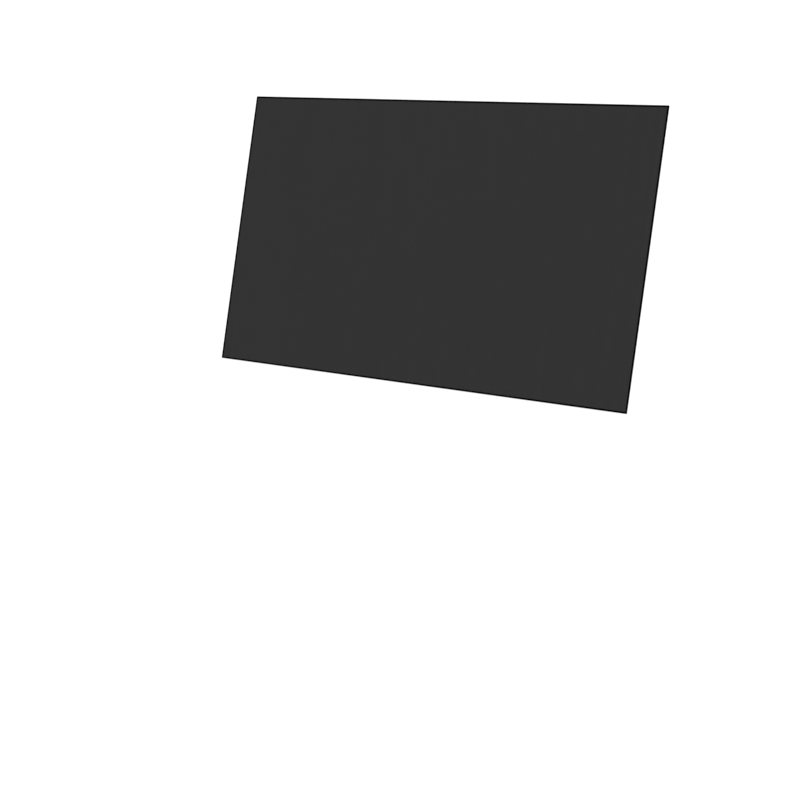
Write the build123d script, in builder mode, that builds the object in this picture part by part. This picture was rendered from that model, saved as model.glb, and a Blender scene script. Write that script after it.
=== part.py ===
from build123d import *
import os

# Laptop privacy filter: one flat sheet of smoked film, cut for the 15.6 inch class.
# It lies on its back face. The origin is the middle of that face, X runs along the width,
# Y up the height, and Z out of the face that the user looks through. Sizes are in millimetres.

# Cut size of the sheet, close to 16:9, and its thickness.
sheet_width = 344.0
sheet_height = 194.0
sheet_thickness = 0.5

# Sealed rim: a narrow bevel round both faces, where the cover films are pressed together at the cut.
rim_width = 1.2
rim_drop = 0.1

# The corners are cut almost square, and only broken so that they don't scratch.
corner_radius = 0.5

with BuildPart() as filter_sheet:
    # The film stack, as it comes off the roll.
    with BuildSketch():
        Rectangle(sheet_width, sheet_height)
    extrude(amount=sheet_thickness)

    # The rim is pressed down round the front face, and the same round the back face.
    for face in filter_sheet.faces().filter_by(Axis.Z):
        chamfer(face.edges(), length=rim_width, length2=rim_drop, reference=face)

    # The die cuts the outline and breaks the corners through the whole thickness.
    with BuildSketch():
        RectangleRounded(sheet_width, sheet_height, corner_radius)
    extrude(amount=sheet_thickness, mode=Mode.INTERSECT)

filter_sheet.part.label = "filter_sheet"

os.makedirs("parts", exist_ok=True)
export_step(filter_sheet.part, "parts/filter_sheet.step")
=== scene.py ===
import bpy
import numpy as np
from mathutils import Matrix, Vector


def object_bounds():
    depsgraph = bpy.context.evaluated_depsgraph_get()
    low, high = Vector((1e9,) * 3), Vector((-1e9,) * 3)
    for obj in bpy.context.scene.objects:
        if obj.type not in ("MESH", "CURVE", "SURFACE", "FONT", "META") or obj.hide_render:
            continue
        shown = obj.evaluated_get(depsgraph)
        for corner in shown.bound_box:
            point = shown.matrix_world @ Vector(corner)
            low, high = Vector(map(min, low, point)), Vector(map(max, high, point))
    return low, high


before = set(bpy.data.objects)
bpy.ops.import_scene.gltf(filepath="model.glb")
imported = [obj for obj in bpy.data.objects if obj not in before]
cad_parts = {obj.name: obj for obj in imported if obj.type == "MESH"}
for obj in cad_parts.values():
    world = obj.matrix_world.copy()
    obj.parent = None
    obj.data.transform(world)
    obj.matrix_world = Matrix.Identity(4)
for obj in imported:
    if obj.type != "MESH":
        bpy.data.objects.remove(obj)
cad_low, cad_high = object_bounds()


# Smoked film
# A film of fine upright louvres is bonded between two clear cover films into one dark, see-through
# sheet. The covers have a satin coat that dims reflections, so lamps show as a weak, soft sheen.
# Lengths here and below are in metres.

film_black = (0.004, 0.004, 0.004)
film_opacity = 0.8  # of each face, so the two together let 4% of the light through
film_shine = 0.02
louvre_streak_size = (0.0012, 0.25, 1.0)  # across, upright and through the sheet
louvre_streak_contrast = 0.5
coat_grain_size = 0.0008
coat_grain_height = 0.000001
coat_roughness = (0.15, 0.19)
film_wave_size = 0.12
film_wave_height = 0.004
noise_span = (0.3, 0.7)


def new_material(name):
    """A material with an empty node tree, as (material, tree)."""
    material = bpy.data.materials.new(name)
    material.use_nodes = True
    material.node_tree.nodes.clear()
    return material, material.node_tree


def add_node(tree, kind, inputs, **settings):
    """A shader node. An input gets a plain value, or a link where it is given another node's output."""
    node = tree.nodes.new("ShaderNode" + kind)
    for name, value in settings.items():
        setattr(node, name, value)
    for name, value in inputs.items():
        if isinstance(value, bpy.types.NodeSocket):
            tree.links.new(value, node.inputs[name])
        else:
            node.inputs[name].default_value = value
    return node


def noise(tree, cell, detail=2.0):
    """Noise over Object coordinates, in cells of about the given size along X, Y and Z."""
    place = add_node(tree, "TexCoord", {})
    per_metre = [1.0 / size for size in cell]
    cells = add_node(tree, "Mapping", {"Vector": place.outputs["Object"], "Scale": per_metre})
    pattern = {"Vector": cells.outputs["Vector"], "Scale": 1.0, "Detail": detail}
    return add_node(tree, "TexNoise", pattern).outputs["Fac"]


def spread(tree, value, low, high):
    """The noise's usual span, stretched to run from low to high."""
    span = {"From Min": noise_span[0], "From Max": noise_span[1], "To Min": low, "To Max": high}
    return add_node(tree, "MapRange", {"Value": value, **span}).outputs["Result"]


def bump(tree, pattern, height, below=None):
    """A relief of the given height, laid over the relief below it."""
    relief = {"Height": pattern, "Distance": height}
    if below is not None:
        relief["Normal"] = below
    return add_node(tree, "Bump", relief).outputs["Normal"]


def smoked_film():
    """Near-black film with faint upright streaks, a fine satin grain and a slow wave."""
    material, tree = new_material("smoked_film")
    streaks = noise(tree, louvre_streak_size)
    tone = spread(tree, streaks, 1.0 - louvre_streak_contrast, 1.0 + louvre_streak_contrast)
    tint = add_node(tree, "VectorMath", {0: film_black, "Scale": tone}, operation="SCALE")
    grain = noise(tree, (coat_grain_size,) * 3)
    wave = noise(tree, (film_wave_size,) * 3, detail=0.0)
    finish = {
        "Base Color": tint.outputs["Vector"],
        "Alpha": film_opacity,
        "Specular IOR Level": film_shine,
        "Roughness": spread(tree, grain, *coat_roughness),
        "Normal": bump(tree, grain, coat_grain_height, bump(tree, wave, film_wave_height)),
    }
    shader = add_node(tree, "BsdfPrincipled", finish)
    add_node(tree, "OutputMaterial", {"Surface": shader.outputs["BSDF"]})
    return material


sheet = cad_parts["filter_sheet"]
sheet.data.materials.clear()
sheet.data.materials.append(smoked_film())


# Sealed rim
# All round, the cover films are pressed together over the louvres and cut through with a die.
# The pressed strip and the cut edge let no light through, so they draw a thin black line.

rim_black = (0.0008, 0.0008, 0.0008, 1.0)
rim_shine = 0.01
rim_grain_size = 0.0006
rim_grain_height = 0.00001
rim_roughness = (0.55, 0.75)
flat_face_upright = 0.9999  # the normal's part along Z, which is smaller on every face of the rim


def sealed_rim():
    """Dull black plastic with the fine grain that pressing leaves."""
    material, tree = new_material("sealed_rim")
    grain = noise(tree, (rim_grain_size,) * 3)
    finish = {
        "Base Color": rim_black,
        "Specular IOR Level": rim_shine,
        "Roughness": spread(tree, grain, *rim_roughness),
        "Normal": bump(tree, grain, rim_grain_height),
    }
    shader = add_node(tree, "BsdfPrincipled", finish)
    add_node(tree, "OutputMaterial", {"Surface": shader.outputs["BSDF"]})
    return material


sheet.data.materials.append(sealed_rim())
normals = np.empty((len(sheet.data.polygons), 3), np.float32)
sheet.data.polygons.foreach_get("normal", normals.ravel())
on_rim = np.abs(normals[:, 2]) < flat_face_upright
sheet.data.polygons.foreach_set("material_index", on_rim.astype(np.int32))


# Floor and room
# A white table top fades with distance into a white room. Rays from the camera, from a shine and
# through glass see both as plain white, while the sheet's own shadow still falls on the table.

floor_half = 3.0
floor_gap = 0.0002  # keeps the table clear of the sheet's back face
table_grey = (0.4, 0.4, 0.4, 1.0)
table_glow = 0.7
table_fade = (0.35, 1.0)
room_colour = (1.0, 1.0, 1.0, 1.0)
room_light = 0.49
room_white = 1.0


def seen_directly(tree):
    """1 on rays from the camera, from a glossy surface or through glass, and 0 on others."""
    path = add_node(tree, "LightPath", {})
    seen = path.outputs["Is Camera Ray"]
    for ray in ("Is Glossy Ray", "Is Transmission Ray"):
        either = add_node(tree, "Math", {0: seen, 1: path.outputs[ray]}, operation="MAXIMUM")
        seen = either.outputs["Value"]
    return seen


def white_glow(tree, strength):
    """White light of the given strength, which only direct rays see."""
    level = add_node(tree, "Math", {0: seen_directly(tree), 1: strength}, operation="MULTIPLY")
    return add_node(tree, "Emission", {"Strength": level.outputs["Value"]}).outputs["Emission"]


def white_table():
    """A grey top that takes shadows and glows up to white, mixed with distance into a plain glow."""
    material, tree = new_material("white_table")
    top = add_node(tree, "BsdfDiffuse", {"Color": table_grey})
    near = add_node(tree, "AddShader", {0: top.outputs["BSDF"], 1: white_glow(tree, table_glow)})
    place = add_node(tree, "TexCoord", {})
    reach = add_node(tree, "VectorMath", {0: place.outputs["Object"]}, operation="LENGTH")
    ends = {"Value": reach.outputs["Value"], "From Min": table_fade[0], "From Max": table_fade[1]}
    fade = add_node(tree, "MapRange", ends, interpolation_type="SMOOTHSTEP")
    layers = {0: fade.outputs["Result"], 1: near.outputs["Shader"], 2: white_glow(tree, room_white)}
    both = add_node(tree, "MixShader", layers)
    add_node(tree, "OutputMaterial", {"Surface": both.outputs["Shader"]})
    return material


scene = bpy.context.scene
floor_corners = np.array([[-1, -1, 0], [1, -1, 0], [1, 1, 0], [-1, 1, 0]]) * floor_half
floor_corners[:, 2] = cad_low.z - floor_gap
floor_mesh = bpy.data.meshes.new("floor")
floor_mesh.from_pydata(floor_corners.tolist(), [], [[0, 1, 2, 3]])
floor_mesh.materials.append(white_table())
floor = bpy.data.objects.new("floor", floor_mesh)
scene.collection.objects.link(floor)

room = bpy.data.worlds.new("room")
room.use_nodes = True
room.node_tree.nodes.clear()
levels = {"Value": seen_directly(room.node_tree), "To Min": room_light, "To Max": room_white}
level = add_node(room.node_tree, "MapRange", levels)
air = {"Color": room_colour, "Strength": level.outputs["Result"]}
background = add_node(room.node_tree, "Background", air)
add_node(room.node_tree, "OutputWorld", {"Surface": background.outputs["Background"]})
scene.world = room


# Studio lamps
# A large soft box stands beyond the sheet's top edge, and a weaker one beyond its lower right corner.
# Both are well away from where the satin film would mirror them into the camera.

soft_boxes = {
    "key_box": {"place": (0.35, 1.3, 1.4), "side": 1.2, "watts": 23.0},
    "fill_box": {"place": (0.9, -1.2, 1.1), "side": 1.0, "watts": 8.0},
}
for name, box in soft_boxes.items():
    lamp = bpy.data.lights.new(name, "AREA")
    lamp.shape = "SQUARE"
    lamp.size = box["side"]
    lamp.energy = box["watts"]
    stand = bpy.data.objects.new(name, lamp)
    stand.location = box["place"]
    stand.rotation_mode = "QUATERNION"
    stand.rotation_quaternion = (-Vector(box["place"])).to_track_quat("-Z", "Y")
    scene.collection.objects.link(stand)


# Camera
# It stands 1.24 m away, up and to the right of the sheet, and looks down on its front face.
# The sheet's top edge is up in the picture.

picture_side = 800
focal_pixels = 1820
camera_place = Vector((0.7375, -0.0927, 0.9953))
camera_aim = Vector((-0.0046, -0.1088, 0.0))
camera_up = Vector((-0.1161, 0.9907, 0.0706))

lens = bpy.data.cameras.new("camera")
lens.lens = lens.sensor_width * focal_pixels / picture_side
camera = bpy.data.objects.new("camera", lens)
ahead = (camera_aim - camera_place).normalized()
right = ahead.cross(camera_up).normalized()
up = right.cross(ahead)
turn = Matrix((right, up, -ahead)).transposed().to_4x4()
camera.matrix_world = Matrix.Translation(camera_place) @ turn
scene.collection.objects.link(camera)
scene.camera = camera
scene.view_settings.view_transform = "Standard"
